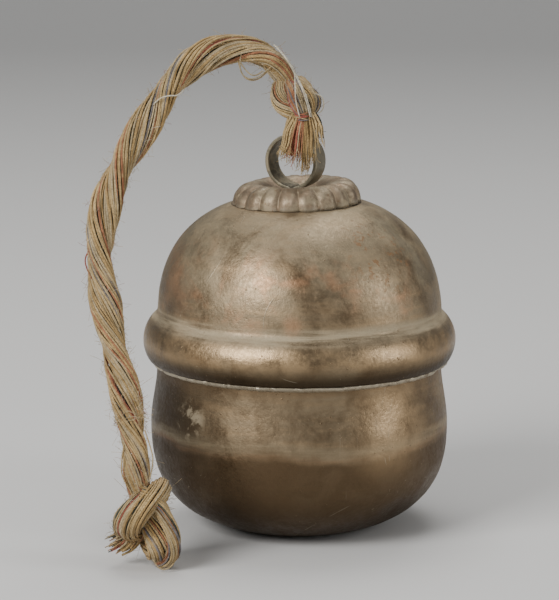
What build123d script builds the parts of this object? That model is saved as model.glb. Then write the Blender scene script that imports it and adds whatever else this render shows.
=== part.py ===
from build123d import *

import os
from math import asin, atan2, cos, degrees, pi, radians, sin, sqrt, tan

# A closed pellet bell: a brass dome and bowl joined under a rolled waist bead, a fluted iron cap,
# an iron strap loop whose tails are clenched under the dome, a loose iron pellet, and a short rope
# tied to the loop. Millimetres and degrees. The origin is the middle of the base, +Z is up, and the
# sound slot runs along X.

# Brass shells
sheet = 1.2  # thickness of the brass
waist_radius = 38.2  # outside of the dome where it meets the bead
dome_height = 34.6  # from the dome's widest level to its crown
dome_power = 2.5  # squareness of the dome's outline, where 2 is an ellipse
bowl_height = 45.2  # from the base to the underside of the bead
belly_swell = 1.65  # how far the bowl's belly stands out past its neck
belly_z = 28.0  # level of the belly
bowl_power = 2.6  # squareness of the bowl's outline
base_radius = 17.0  # flat that the bell stands on
neck_height = 1.7  # straight neck of the bowl below the bead
neck_lap = 6.8  # how far the neck goes up inside the bead
joint_gap = 0.15  # solder gap between the neck and the bead's lip

# Rolled bead
bead_proud = 3.8  # how far the bead stands out from the waist
bead_curve = 9.0  # radius of the bead's outer face
bead_middle = 5.5  # from the bead's underside to its widest level
bead_to_dome = 9.8  # from the bead's underside to the dome's widest level
bead_blend = 3.0  # hollow between the bead and the dome
lip_curl = 1.8  # rounding of the bead's lower corner
solder_leg = 0.9  # width and height of the solder fillet under the lip

# Sound slot
slot_width = 5.0
slot_hole = 9.0  # diameter of the round hole at each end
slot_pitch = 40.0  # between the two holes' centres

# Cap and strap loop, which stand a little off centre and lean to -X
crown_shift = 0.8
crown_lean = 1.5
cap_gap = 0.1  # between the dome's crown and the cap's dish
cap_radius = 17.2
cap_sheet = 1.0
cap_crest_radius = 12.8  # the lobes' highest circle
cap_crest_height = 2.9  # above the dome's crown
cap_dish_radius = 5.5
lobe_count = 19
lobe_swell = 0.9  # how far a lobe's side stands out past a straight line from crest to rim
groove_radius = 1.1  # of the grooves between lobes
groove_depth = 0.6
strap_thick = 1.0
strap_width = 6.4
loop_radius = 7.0  # to the middle of the strap
loop_yaw = 25.0  # the eye's axis turns this far from -Y towards -X
loop_gap = 0.6  # under the eye, above the cap's dish
bend_radius = 0.9  # where the eye turns into its tails
tail_gap = 0.1  # between the two tails
tail_fit = 0.1  # round the tails in the cap and the dome
clench_length = 9.0
clench_drop = 0.9  # fall of a clenched tail over its length
clench_gap = 0.35  # between a clenched tail and the dome

# Pellet
pellet_diameter = 14.0
pellet_gap = 0.3  # above the bowl's floor, so that it turns freely

# Rope
rope_diameter = 8.0
strand_diameter = 4.0
eye_gap = 0.3  # between the strand and the strap
knot_radius = 4.4  # of the ring knot's lobes
knot_waist = 3.8  # between the lobes
thread_diameter = 1.0

# The rope's route, from the ring knot over the arch and down to the end knot.
rope_route = [
    (-5.0, -2.4, 117.6),
    (-8.4, -3.4, 123.6),
    (-14.8, -5.2, 128.2),
    (-23.6, -7.6, 128.6),
    (-32.2, -10.8, 122.8),
    (-39.4, -14.4, 112.4),
    (-46.8, -18.6, 100.2),
    (-51.3, -22.8, 87.8),
    (-52.4, -27.6, 74.6),
    (-48.8, -33.6, 57.4),
    (-43.6, -40.4, 40.4),
    (-42.0, -46.4, 24.2),
]


def rounded(radius, height, power, start, end, count=7):
    """Points (r, z) on a squared-off ellipse, from angle start to angle end."""
    angles = [radians(start + (end - start) * i / (count - 1)) for i in range(count)]
    return [
        (radius * abs(cos(a)) ** (2 / power), height * abs(sin(a)) ** (2 / power))
        for a in angles
    ]


def dome_level(radius):
    """Height of the dome's outside at a distance from the axis."""
    return dome_z + dome_height * (1 - (radius / waist_radius) ** dome_power) ** (1 / dome_power)


# Levels and radii that follow from the sizes above
dome_z = bowl_height + bead_to_dome
crown_z = dome_z + dome_height
bead_z = bowl_height + bead_middle
bead_radius = waist_radius + bead_proud
bead_centre = bead_radius - bead_curve
neck_radius = waist_radius + 0.1
neck_top = bowl_height + neck_lap
belly_radius = neck_radius + belly_swell
bowl_depth = belly_z / (1 - (base_radius / belly_radius) ** bowl_power) ** (1 / bowl_power)
section = Plane.XZ

# The crown frame leans and stands off centre; the loop frame looks along the eye's axis.
lean = radians(crown_lean)
crown = Plane(
    origin=(-crown_shift, 0, crown_z + cap_gap),
    x_dir=(cos(lean), 0, sin(lean)),
    z_dir=(-sin(lean), 0, cos(lean)),
)
crown_section = Plane(origin=crown.origin, x_dir=crown.x_dir, z_dir=crown.y_dir * -1)
crown_axis = Axis(crown.origin, crown.z_dir)
loop_height = cap_sheet + loop_gap + strap_thick / 2 + loop_radius
yaw = radians(loop_yaw)
loop_x = crown.x_dir * cos(yaw) - crown.y_dir * sin(yaw)
loop_axis = crown.x_dir * -sin(yaw) - crown.y_dir * cos(yaw)
loop_centre = crown.origin + crown.z_dir * loop_height
loop_plane = Plane(origin=loop_centre, x_dir=loop_x, z_dir=loop_axis)
eye_plane = Plane(origin=loop_centre, x_dir=loop_axis, z_dir=loop_x * -1)
tail_plane = Plane(origin=crown.origin, x_dir=loop_x, z_dir=crown.z_dir)
tail_slot = (2 * (strap_thick + tail_fit) + tail_gap, strap_width + 2 * tail_fit)


def dome_and_bead(inset):
    """The dome, the waist and the bead in section, with every face set in by inset."""
    radius = waist_radius - inset
    floor = bowl_height + inset
    outline = rounded(radius, dome_height - inset, dome_power, 0, 90)
    with BuildSketch() as filled:
        with BuildLine():
            arch = Spline([(r, dome_z + z) for r, z in outline], tangents=[(0, 1), (-1, 0)])
            Polyline(arch @ 1, (0, floor), (radius, floor), arch @ 0)
        make_face()
        with Locations((bead_centre, bead_z)):
            Circle(bead_curve - inset)
        with Locations((0, floor)):
            Rectangle(3 * bead_radius, 3 * bead_curve, align=(Align.CENTER, Align.MAX), mode=Mode.SUBTRACT)
        fillet(filled.vertices().group_by(Axis.Y)[0].sort_by(Axis.X)[-1], lip_curl - inset)
        fillet(filled.vertices().group_by(Axis.Y)[-2], bead_blend + inset)
    return filled.sketch


def bowl(inset):
    """The bowl in section, with every face but its rim set in by inset."""
    radius = belly_radius - inset
    depth = bowl_depth - inset
    floor_angle = degrees(asin(((belly_z - inset) / depth) ** (bowl_power / 2)))
    outline = rounded(radius, depth, bowl_power, floor_angle, 0)
    with BuildSketch() as filled:
        with BuildLine():
            cup = Spline([(r, belly_z - z) for r, z in outline])
            neck_foot = (neck_radius - inset, bowl_height - neck_height)
            side = Spline([cup @ 1, neck_foot], tangents=[(0, 1), (0, 1)])
            Polyline(side @ 1, (neck_radius - inset, neck_top), (0, neck_top), (0, inset), cup @ 0)
        make_face()
    return filled.sketch


def cap_outline(inset):
    """The cap in section, in the crown frame, with its upper face set in by inset."""
    rim = cap_radius - inset
    with BuildSketch() as filled:
        with BuildLine():
            dish_edge = (cap_dish_radius, cap_sheet - inset)
            crest = (cap_crest_radius, cap_crest_height - inset)
            lobe = Spline([dish_edge, crest, (rim, cap_rim)], tangents=[(1, 0.1), (0.3, -1)])
            Polyline(lobe @ 1, (0, cap_rim), (0, cap_sheet - inset), lobe @ 0)
        make_face()
    return filled.sketch


# Brass shells: the dome carries the hollow bead, and the bowl's neck goes up inside it.
with BuildPart() as upper_shell:
    with BuildSketch(section):
        add(dome_and_bead(0))
        add(dome_and_bead(sheet), mode=Mode.SUBTRACT)
        with Locations((0, bowl_height)):
            Rectangle(neck_radius + joint_gap, sheet, align=Align.MIN, mode=Mode.SUBTRACT)
    revolve(axis=Axis.Z)
    with BuildSketch(tail_plane):
        Rectangle(*tail_slot)
    extrude(amount=2 * sheet, both=True, mode=Mode.SUBTRACT)

with BuildPart() as lower_shell:
    with BuildSketch(section):
        add(bowl(0))
        add(bowl(sheet), mode=Mode.SUBTRACT)
    revolve(axis=Axis.Z)
    with BuildSketch():
        Rectangle(slot_pitch, slot_width)
        with GridLocations(slot_pitch, 0, 2, 1):
            Circle(slot_hole / 2)
    extrude(amount=belly_z / 2, mode=Mode.SUBTRACT)

# Solder: a ring in the gap between the neck and the lip, with a fillet under the lip.
with BuildPart() as seam_solder:
    with BuildSketch(section):
        with BuildLine():
            Polyline(
                (neck_radius, bowl_height - solder_leg),
                (neck_radius, bowl_height + sheet),
                (neck_radius + joint_gap, bowl_height + sheet),
                (neck_radius + joint_gap, bowl_height),
                (neck_radius + joint_gap + solder_leg, bowl_height),
                close=True,
            )
        make_face()
    revolve(axis=Axis.Z)

# Cap: a dished sheet with a raised ring of lobes, the inner edge of its rim resting on the dome.
rim_inside = cap_radius - cap_sheet
cap_rim = dome_level(rim_inside + crown_shift) - crown_z - cap_gap + rim_inside * sin(lean)
side_fall = cap_crest_height - cap_rim
side_run = cap_radius - cap_crest_radius
side_lean = atan2(side_run, side_fall)
groove_out = lobe_swell + groove_radius - groove_depth
groove_circle = cap_radius - side_run / 2 + groove_out * cos(side_lean)
groove_level = cap_rim + side_fall / 2 + groove_out * sin(side_lean)
with BuildPart(crown) as rosette_cap:
    with BuildSketch(crown_section):
        add(cap_outline(0))
        add(cap_outline(cap_sheet), mode=Mode.SUBTRACT)
    revolve(axis=crown_axis)
    with BuildSketch(tail_plane):
        Rectangle(*tail_slot)
    extrude(amount=2 * cap_sheet, both=True, mode=Mode.SUBTRACT)
    with Locations((0, 0, groove_level)):
        with PolarLocations(groove_circle, lobe_count):
            Cylinder(groove_radius, 3 * side_fall, rotation=(0, -degrees(side_lean), 0), mode=Mode.SUBTRACT)

# Strap loop: an eye whose two tails turn down through the cap and the dome and spread under it.
tail_x = (strap_thick + tail_gap) / 2
turn_x = tail_x + bend_radius
turn_y = -sqrt((loop_radius + bend_radius) ** 2 - turn_x**2)
touch = loop_radius / (loop_radius + bend_radius)
clench_y = -loop_height - sheet - clench_gap - strap_thick / 2
with BuildPart() as hanging_loop:
    with BuildSketch(loop_plane):
        with BuildLine():
            ThreePointArc((0, loop_radius), (loop_radius, 0), (touch * turn_x, touch * turn_y))
            RadiusArc((touch * turn_x, touch * turn_y), (tail_x, turn_y), bend_radius)
            FilletPolyline(
                (tail_x, turn_y),
                (tail_x, clench_y),
                (tail_x + clench_length, clench_y - clench_drop),
                radius=bend_radius,
            )
            mirror(about=Plane.YZ)
        trace(line_width=strap_thick)
    extrude(amount=strap_width / 2, both=True)

# Pellet: a loose ball on the bowl's floor.
with BuildPart() as pellet:
    with Locations((0, 0, sheet + pellet_gap + pellet_diameter / 2)):
        Sphere(pellet_diameter / 2)

# Rope: straight runs joined by arcs as large as the runs allow.
runs = [Vector(*b) - Vector(*a) for a, b in zip(rope_route, rope_route[1:])]
rope_radii = [
    0.45 * min(a.length, b.length) / tan(radians(a.get_angle(b) / 2)) for a, b in zip(runs, runs[1:])
]
with BuildPart() as rope:
    with BuildLine():
        rope_path = FilletPolyline(*rope_route, radius=rope_radii)
    with BuildSketch(Plane(origin=rope_path @ 0, z_dir=rope_path % 0)):
        Circle(rope_diameter / 2)
    sweep()
rope_length = rope_path.length
rope_share = rope.part.volume / (pi * rope_diameter**2 / 4 * rope_length)
print("rope arc radii", [round(r, 1) for r in rope_radii])
print("rope length", round(rope_length, 1), "volume against section times length", round(rope_share, 4))

# Rope eye: one strand through the loop, with a bend round each edge of the strap.
leg_x = strap_width / 2 + eye_gap + strand_diameter / 2
run_y = loop_radius - strap_thick / 2 - eye_gap - strand_diameter / 2
knot_y = loop_radius + strap_thick / 2 + knot_radius
with BuildPart() as rope_eye:
    with BuildLine(eye_plane):
        eye_path = FilletPolyline(
            (strand_diameter / 2, knot_y + strand_diameter),
            (leg_x, knot_y - strand_diameter / 2),
            (leg_x, run_y),
            (-leg_x, run_y),
            (-leg_x, knot_y - strand_diameter / 2),
            (-strand_diameter / 2, knot_y + strand_diameter),
            radius=strand_diameter / 2 + eye_gap,
        )
    with BuildSketch(Plane(origin=eye_path @ 0, z_dir=eye_path % 0)):
        Circle(strand_diameter / 2)
    sweep()

# Ring knot: two lobes side by side, which hold the rope's start and the eye's two legs.
knot_left = Vector(-8.2, -0.6, 116.8)
knot_right = Vector(5.2, -2.4, 115.2)
knot_span = (knot_right - knot_left).length
knot_line = Plane(origin=knot_left, z_dir=knot_right - knot_left)
with BuildPart() as ring_knot:
    with BuildSketch(Plane(origin=knot_left, x_dir=knot_line.x_dir, z_dir=knot_line.y_dir * -1)):
        with BuildLine():
            lobes = Spline(
                (0, 0),
                (knot_radius * 0.75, knot_span * 0.07),
                (knot_radius, knot_span * 0.26),
                (knot_waist, knot_span * 0.52),
                (knot_radius * 0.95, knot_span * 0.74),
                (knot_radius * 0.7, knot_span * 0.93),
                (0, knot_span),
                tangents=[(1, 0), (-1, 0)],
            )
            Line(lobes @ 1, lobes @ 0)
        make_face()
    revolve(axis=Axis(knot_left, knot_line.z_dir))

# Tassel: the frayed short end, from the knot down in front of the loop.
tassel_levels = [
    (1.2, -5.8, 112.2, 2.2, 2.0),
    (0.9, -9.6, 106.0, 3.9, 2.0),
    (0.9, -10.0, 98.2, 5.2, 2.1),
]
with BuildPart() as tassel:
    for x, y, z, half_width, half_depth in tassel_levels:
        with BuildSketch(Plane((x, y, z))):
            Ellipse(half_width, half_depth)
    loft(ruled=True)

# Binding thread: a turn of string round the tassel's neck.
with BuildPart() as binding_thread:
    with Locations(Plane((1.2, -6.9, 110.4), z_dir=(0, 0.5, 1))):
        Torus(2.9, thread_diameter / 2)

# End knot: an egg-shaped knot that stands on the floor, with the cut end coming out of its side.
end_top = Vector(*rope_route[-1])
end_foot = Vector(-36.6, -48.6, 0.4)
end_span = (end_foot - end_top).length
end_line = Plane(origin=end_top, z_dir=end_foot - end_top)
end_belly = 6.7
cut_radius = 3.2
cut_length = 8.0
with BuildPart() as end_knot:
    with BuildSketch(Plane(origin=end_top, x_dir=end_line.x_dir, z_dir=end_line.y_dir * -1)):
        with BuildLine():
            egg = Spline(
                (rope_diameter / 2, 0),
                (end_belly * 0.9, end_span * 0.25),
                (end_belly, end_span * 0.55),
                (0, end_span),
                tangents=[(0.6, 1), (-1, 0)],
            )
            Polyline(egg @ 1, (0, 0), egg @ 0)
        make_face()
    revolve(axis=Axis(end_top, end_line.z_dir))
    with BuildSketch(Plane(origin=(-41.0, -46.0, 9.0), z_dir=(-6.5, 2.0, -4.4))):
        Circle(cut_radius)
    extrude(amount=cut_length)
    split(bisect_by=Plane.XY, keep=Keep.TOP)

pieces = {
    "upper_shell": upper_shell,
    "lower_shell": lower_shell,
    "seam_solder": seam_solder,
    "rosette_cap": rosette_cap,
    "hanging_loop": hanging_loop,
    "pellet": pellet,
    "rope": rope,
    "rope_eye": rope_eye,
    "ring_knot": ring_knot,
    "tassel": tassel,
    "binding_thread": binding_thread,
    "end_knot": end_knot,
}
os.makedirs("parts", exist_ok=True)
for name, piece in pieces.items():
    piece.part.label = name
    export_step(piece.part, f"parts/{name}.step")
    print(name, round(piece.part.volume, 1), "mm3")
print("loop centre", loop_centre, "loop axis", loop_axis)
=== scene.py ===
"""Dresses a closed pellet bell and its rope: patinated brass shells, a fluted iron cap and strap
loop, a rusty pellet, and a twisted yarn rope with its two knots and its frayed tassel."""

from math import acos, asin, atan2, cos, degrees, exp, hypot, pi, radians, sin, sqrt, tau
from random import Random

import bmesh
import bpy
from bpy.props import FloatProperty, FloatVectorProperty, IntProperty, PointerProperty
from mathutils import Matrix, Vector, noise


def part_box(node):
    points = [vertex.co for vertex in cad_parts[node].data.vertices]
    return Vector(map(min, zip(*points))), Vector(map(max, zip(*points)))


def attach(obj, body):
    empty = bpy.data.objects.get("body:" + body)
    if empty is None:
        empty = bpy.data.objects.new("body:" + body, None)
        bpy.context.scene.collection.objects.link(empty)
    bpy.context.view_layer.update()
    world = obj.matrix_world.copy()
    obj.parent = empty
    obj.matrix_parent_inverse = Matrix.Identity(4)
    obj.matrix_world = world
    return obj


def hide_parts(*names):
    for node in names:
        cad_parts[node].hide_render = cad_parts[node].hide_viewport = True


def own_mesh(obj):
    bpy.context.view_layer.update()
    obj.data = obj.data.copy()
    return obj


bl_info = {
    "name": "Pellet Bell Dresser",
    "version": (1, 0, 0),
    "blender": (4, 5, 0),
    "location": "3D View > Sidebar > Pellet Bell",
    "description": "Builds the shells, cap, loop, pellet, rope and knots of a closed pellet bell",
    "category": "Object",
}

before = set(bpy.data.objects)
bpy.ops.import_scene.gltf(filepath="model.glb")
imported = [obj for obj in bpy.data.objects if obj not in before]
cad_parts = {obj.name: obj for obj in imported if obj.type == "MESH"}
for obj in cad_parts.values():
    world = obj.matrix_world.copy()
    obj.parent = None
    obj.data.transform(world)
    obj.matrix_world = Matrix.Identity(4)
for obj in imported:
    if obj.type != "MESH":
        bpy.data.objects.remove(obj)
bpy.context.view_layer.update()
MM = 0.001
BELL, CORD, PELLET = "bell", "cord", "pellet"


# ---------------------------------------------------------------- settings


def length(name, description, default, low=0.0):
    """A size property, given in millimetres and kept in metres."""
    return FloatProperty(
        name=name, description=description, default=default * MM, min=low, unit="LENGTH", precision=5
    )


def angle(name, description, default):
    """An angle property, given in degrees and kept in radians."""
    return FloatProperty(name=name, description=description, default=radians(default), subtype="ANGLE")


def number(name, description, default, unit="NONE"):
    """A plain number property."""
    return FloatProperty(name=name, description=description, default=default, unit=unit)


def colour(name, description, default):
    """A colour property."""
    return FloatVectorProperty(
        name=name, description=description, default=default, subtype="COLOR", size=3, min=0, max=1
    )


class ShellSizes(bpy.types.PropertyGroup):
    """Sizes of the two brass shells and the bead that joins them."""

    sheet: length("Sheet", "Thickness of the brass", 1.2)
    waist_radius: length("Waist radius", "Outside of the dome where it meets the bead", 38.2)
    dome_height: length("Dome height", "From the dome's widest level to its crown", 34.6)
    dome_power: number("Dome power", "Squareness of the dome", 2.5)
    bowl_height: length("Bowl height", "From the base to the underside of the bead", 45.2)
    belly_radius: length("Belly radius", "Widest radius of the bowl", 39.95)
    belly_z: length("Belly level", "Level of the bowl's widest ring", 28)
    bowl_power: number("Bowl power", "Squareness of the bowl", 2.6)
    base_radius: length("Base radius", "Flat that the bell stands on", 17)
    neck_radius: length("Neck radius", "Outside of the bowl's neck", 38.3)
    neck_top: length("Neck top", "Upper end of the neck, inside the bead", 52)
    bead_radius: length("Bead radius", "Widest radius of the bead", 42)
    bead_curve: length("Bead curve", "Radius of the bead's outer face", 9)
    bead_z: length("Bead level", "Level of the bead's widest ring", 50.7)
    dome_z: length("Dome level", "Level where the dome is widest", 55)
    lip_radius: length("Lip radius", "Inner edge of the bead's lip", 38.45)
    crown_hole: length("Crown hole", "Radius of the hole for the strap's tails", 3.9)
    slot_width: length("Slot width", "Width of the sound slot", 5)
    slot_hole: length("Slot hole", "Diameter of the hole at each end of the slot", 9)
    slot_pitch: length("Slot pitch", "Between the two holes' centres", 40)
    wobble: length("Wobble", "Height of the slow waves that the hammer left", 0.22)
    dimple: length("Dimple", "Depth of the small hammer marks", 0.05)
    around: IntProperty(name="Steps around", description="Steps of each spun shell", default=180, min=24)


class CrownSizes(bpy.types.PropertyGroup):
    """Sizes of the iron cap, the strap loop and the pellet."""

    shift: length("Shift", "How far the crown stands off the axis, to -X", 0.8)
    lean: angle("Lean", "Lean to -X", 1.5)
    cap_foot: length("Cap foot", "Level of the cap's frame", 89.7)
    cap_radius: length("Cap radius", "Radius of the cap's rim", 17.2)
    crest_radius: length("Crest radius", "Highest circle of the lobes", 11.2)
    crest_height: length("Crest height", "Height of the lobes", 3.5)
    dish_radius: length("Dish radius", "Radius of the cap's dish", 5.0)
    cap_sheet: length("Cap sheet", "Thickness of the cap", 1.0)
    rim_level: length("Rim level", "Level of the rim in the cap's frame", -2.4, low=-1.0)
    lobes: IntProperty(name="Lobes", description="Number of lobes", default=19, min=3)
    groove: length("Groove", "Depth of the grooves between the lobes", 0.85)
    strap_thick: length("Strap thickness", "Thickness of the strap", 1.0)
    strap_width: length("Strap width", "Width of the strap", 6.4)
    loop_radius: length("Loop radius", "To the middle of the strap", 7.0)
    loop_yaw: angle("Loop yaw", "Turn of the eye", 25)
    loop_height: length("Loop height", "Loop's centre above the cap's frame", 9.1)
    bend_radius: length("Bend radius", "Where the eye turns into its tails", 0.9)
    pellet_radius: length("Pellet radius", "Radius of the loose pellet", 7.0)


class RopeSizes(bpy.types.PropertyGroup):
    """Sizes of the rope and its yarns."""

    diameter: length("Rope diameter", "Diameter of the rope", 8.0)
    pitch: length("Pitch", "Length of one full twist of the rope", 48)
    yarn: length("Yarn", "Radius of one yarn", 0.29)
    ply_radius: length("Ply radius", "Radius of each ply, to its yarns' middles", 2.5)
    ply_offset: length("Ply offset", "From the rope's middle to a ply's middle", 1.35)
    strand: length("Strand", "Radius of the single strand through the loop", 2.0)
    thread: length("Thread", "Radius of the pale sewing thread", 0.17)
    fibre: length("Fibre", "Radius of one loose fibre", 0.035)


class BellColours(bpy.types.PropertyGroup):
    """Colours of the metals."""

    brass: colour("Brass", "Worn brass", (0.40, 0.275, 0.150))
    brown: colour("Brown patina", "Dark brown patina", (0.125, 0.080, 0.042))
    olive: colour("Olive patina", "Olive-grey patina", (0.30, 0.235, 0.150))
    copper: colour("Copper patina", "Coppery patches", (0.43, 0.235, 0.125))
    dust: colour("Dust", "Dry dust in the hollows", (0.40, 0.33, 0.215))
    rust: colour("Rust", "Rust stains", (0.20, 0.095, 0.03))
    solder: colour("Solder", "Dull solder", (0.43, 0.375, 0.28))
    iron: colour("Iron", "Mauve-brown old iron", (0.275, 0.200, 0.128))
    strap: colour("Strap iron", "Olive-grey strap iron", (0.150, 0.130, 0.082))
    pellet: colour("Pellet iron", "Rusty pellet iron", (0.16, 0.09, 0.05))
    edge: colour("Worn edge", "Worn iron edges", (0.38, 0.34, 0.26))


class YarnColours(bpy.types.PropertyGroup):
    """Colours of the dyed yarns."""

    straw: colour("Straw", "Undyed straw yarn", (0.42, 0.295, 0.135))
    gold: colour("Gold", "Golden yarn", (0.37, 0.240, 0.095))
    oat: colour("Oat", "Pale grey-beige yarn", (0.40, 0.310, 0.175))
    madder: colour("Madder", "Pinkish-red yarn", (0.30, 0.070, 0.045))
    rust: colour("Rust", "Orange-brown yarn", (0.31, 0.130, 0.060))
    bottle: colour("Bottle", "Dark green-black yarn", (0.045, 0.055, 0.042))
    slate: colour("Slate", "Blue-grey and mauve yarn", (0.15, 0.135, 0.135))
    thread: colour("Thread", "Pale sewing thread", (0.60, 0.55, 0.43))


class StudioSettings(bpy.types.PropertyGroup):
    """The camera, the lights and the floor."""

    distance: number("Distance", "Camera to target", 0.850, "LENGTH")
    elevation: angle("Elevation", "Camera angle", 10.7)
    lens: number("Lens", "Focal length in millimetres", 189.7, "CAMERA")
    target: FloatVectorProperty(
        name="Target",
        description="Point that the camera looks at",
        default=(-0.0053, 0.0, 0.0610),
        subtype="TRANSLATION",
    )
    floor: colour("Floor", "Pale floor", (0.62, 0.61, 0.59))
    air: colour("Air", "Soft light from all round", (0.95, 0.97, 1.0))
    air_strength: number("Air strength", "Strength of the all-round light", 0.35)
    key: number("Key", "Power of the key light", 11.0, "POWER")
    side: number("Side", "Power of the side light", 3.5, "POWER")
    top: number("Top", "Power of the top light", 5.0, "POWER")


# ---------------------------------------------------------------- finishes

# Levels of the coats on the brass, painted shade among them, in metres above the floor.
SHADED_BASE = (0.004, 0.017)
FOOT_EDGE = (0.0248, 0.0276)
FOOT_RING = (0.0262, 0.0274)
TIDE_LINE = (0.0276, 0.0298)
BOWL_NECK = (0.0395, 0.0450)
LIP_SHADOW = (0.0430, 0.0492)
BEAD_POLISH = (0.0500, 0.0553)
HOLLOW = (0.0562, 0.0600)
COPPER_BELT = (0.060, 0.078)
SHOULDER = (0.060, 0.084)

# Spots on the brass, as a place and a reach in metres.
# Paler spots inside the crease on the dome.
PALE_CREASE_SPOTS = [
    ((0.0235, -0.0135, 0.0838), 0.0065),
    ((0.0290, -0.0150, 0.0790), 0.0070),
    ((0.0328, -0.0160, 0.0730), 0.0060),
]
COPPER_GLINTS = [
    ((0.0135, -0.0310, 0.0700), 0.0045),
    ((0.0125, -0.0325, 0.0650), 0.0045),
    ((-0.0005, -0.0330, 0.0700), 0.0045),
    ((-0.002, -0.0355, 0.0610), 0.0045),
]
RUST_SPOT = ((0.0205, -0.0225, 0.0775), 0.015)
# Painted shade on the bowl's left side.
SHADED_LEFT = ((-0.0430, -0.0120, 0.0270), 0.040)
PALE_STAIN = ((-0.0285, -0.0265, 0.034), 0.007)
# Painted highlight on the bowl's right, with a smoother polish there.
POLISH_AND_HIGHLIGHT_SPOT = ((0.0235, -0.0315, 0.0330), 0.017)

# Painted shadow round the cap's rim, by its distance from a point under the cap, in metres.
UNDER_CAP = (-0.0008, 0.0, 0.0876)
CAP_SHADOW_RING = (0.0150, 0.01745)

# Long curved scratches, as the centre and radius of a sphere that cuts the surface, in metres.
DOME_SCORES = [
    ((0.002, -0.050, 0.062), 0.0175),
    ((-0.050, -0.010, 0.090), 0.0360),
    ((0.010, 0.060, 0.070), 0.0290),
]
BOWL_SCORES = [
    ((0.060, -0.030, 0.034), 0.0390),
    ((0.060, -0.026, 0.030), 0.0375),
    ((0.034, -0.030, -0.030), 0.0480),
    ((-0.010, 0.070, 0.030), 0.0350),
]


class Finish:
    """A material under construction. Each call adds nodes and returns their output. The ground is the
    colour so far, and coats are laid over it."""

    def __init__(self, name):
        self.material = bpy.data.materials.new(name)
        self.material.use_nodes = True
        self.tree = self.material.node_tree
        self.surface = self.tree.nodes["Principled BSDF"]
        self.place = self.tree.nodes.new("ShaderNodeTexCoord").outputs["Object"]
        self.ground = None

    def put(self, socket, value):
        """Link a value to a socket, or set it there."""
        if isinstance(value, bpy.types.NodeSocket):
            self.tree.links.new(value, socket)
        else:
            socket.default_value = value

    def node(self, kind, output, inputs, **choices):
        """Add a node with its choices and inputs, and give one of its outputs."""
        node = self.tree.nodes.new(kind)
        for choice, value in choices.items():
            setattr(node, choice, value)
        for socket, value in inputs.items():
            self.put(node.inputs[socket], value)
        return node.outputs[output]

    def shift(self, move=(0, 0, 0), turn=(0, 0, 0), scale=(1, 1, 1), place=None):
        """Coordinates, moved, turned and scaled. They are the object's own unless others are given."""
        inputs = {"Vector": place or self.place, "Location": move, "Rotation": turn, "Scale": scale}
        return self.node("ShaderNodeMapping", "Vector", inputs)

    def noise(self, scale, detail=4.0, roughness=0.55, distortion=0.0, place=None):
        """Cloudy noise, from 0 to 1, with so many features to the metre."""
        inputs = {"Vector": place or self.place, "Scale": scale, "Detail": detail}
        inputs.update({"Roughness": roughness, "Distortion": distortion})
        return self.node("ShaderNodeTexNoise", "Fac", inputs)

    def ramp(self, value, low, high, start=0.0, end=1.0):
        """Map a value smoothly from low..high to start..end."""
        inputs = {"Value": value, "From Min": low, "From Max": high, "To Min": start, "To Max": end}
        return self.node("ShaderNodeMapRange", "Result", inputs, interpolation_type="SMOOTHSTEP")

    def fade(self, value, low, high):
        """1 below low, falling to 0 at high."""
        return self.ramp(value, low, high, 1.0, 0.0)

    def patches(self, low, high, *cloud):
        """1 in the patches where a noise is high."""
        return self.ramp(self.noise(*cloud), low, high)

    def reckon(self, operation, values):
        """Arithmetic on values, from the first to the last."""
        total = values[0]
        for value in values[1:]:
            total = self.node("ShaderNodeMath", "Value", {0: total, 1: value}, operation=operation)
        return total

    def times(self, *values):
        """The product of some values."""
        return self.reckon("MULTIPLY", values)

    def plus(self, *values):
        """The sum of some values."""
        return self.reckon("ADD", values)

    def most(self, *values):
        """The largest of some values."""
        return self.reckon("MAXIMUM", values)

    def band(self, value, low, high, soft):
        """1 where the value lies between low and high, with soft ends."""
        rise = self.ramp(value, low - soft, low + soft)
        return self.times(rise, self.fade(value, high - soft, high + soft))

    def apart(self, point):
        """Distance from a point, in metres."""
        return self.node("ShaderNodeVectorMath", "Value", {0: self.place, 1: point}, operation="DISTANCE")

    def near(self, point, reach):
        """1 at a point, falling to 0 at its reach."""
        return self.fade(self.apart(point), reach * 0.35, reach)

    def score(self, centre, radius):
        """A long curved scratch: 1 where a sphere about the centre cuts the surface, in broken bits."""
        off = self.plus(self.apart(centre), -radius)
        off = self.node("ShaderNodeMath", "Value", {0: off}, operation="ABSOLUTE")
        line = self.fade(off, 0.00004, 0.00016)
        return self.times(line, self.ramp(self.noise(150.0, 4.0), 0.50, 0.64, 0.0, 0.7))

    def scratches(self, turn):
        """Thin broken lines in one direction, 1 on a line."""
        across = self.patches(0.735, 0.79, 1.0, 2.0, 0.6, 0.0, self.shift(turn=turn, scale=(2600, 60, 60)))
        return self.times(across, self.patches(0.48, 0.6, 70.0, 3.0))

    def blend(self, amount, first, second):
        """Mix two colours."""
        mix = self.tree.nodes.new("ShaderNodeMix")
        mix.data_type = "RGBA"
        self.put(mix.inputs[0], amount)
        for socket, tone in zip([s for s in mix.inputs if s.type == "RGBA"], (first, second)):
            self.put(socket, tone if isinstance(tone, bpy.types.NodeSocket) else (*tone, 1.0))
        return next(s for s in mix.outputs if s.type == "RGBA")

    def lay(self, tone, *masks):
        """Lay a coat of a colour where all the masks hold."""
        self.ground = self.blend(self.times(*masks), self.ground, tone)

    def height(self):
        """Height of each point above the floor, in metres."""
        return self.node("ShaderNodeSeparateXYZ", "Z", {0: self.place})

    def bump(self, height, depth, strength=1.0, under=None):
        """Relief of a given depth in metres, on top of another relief."""
        inputs = {"Strength": strength, "Distance": depth, "Height": height}
        if under:
            inputs["Normal"] = under
        return self.node("ShaderNodeBump", "Normal", inputs)

    def join(self, **sockets):
        """Link or set the surface's sockets, which are named with underscores, and give the material."""
        for socket, value in sockets.items():
            self.put(self.surface.inputs[socket.replace("_", " ")], value)
        return self.material


def darker(tone, share):
    """A share of a colour's strength."""
    return [share * c for c in tone]


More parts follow.
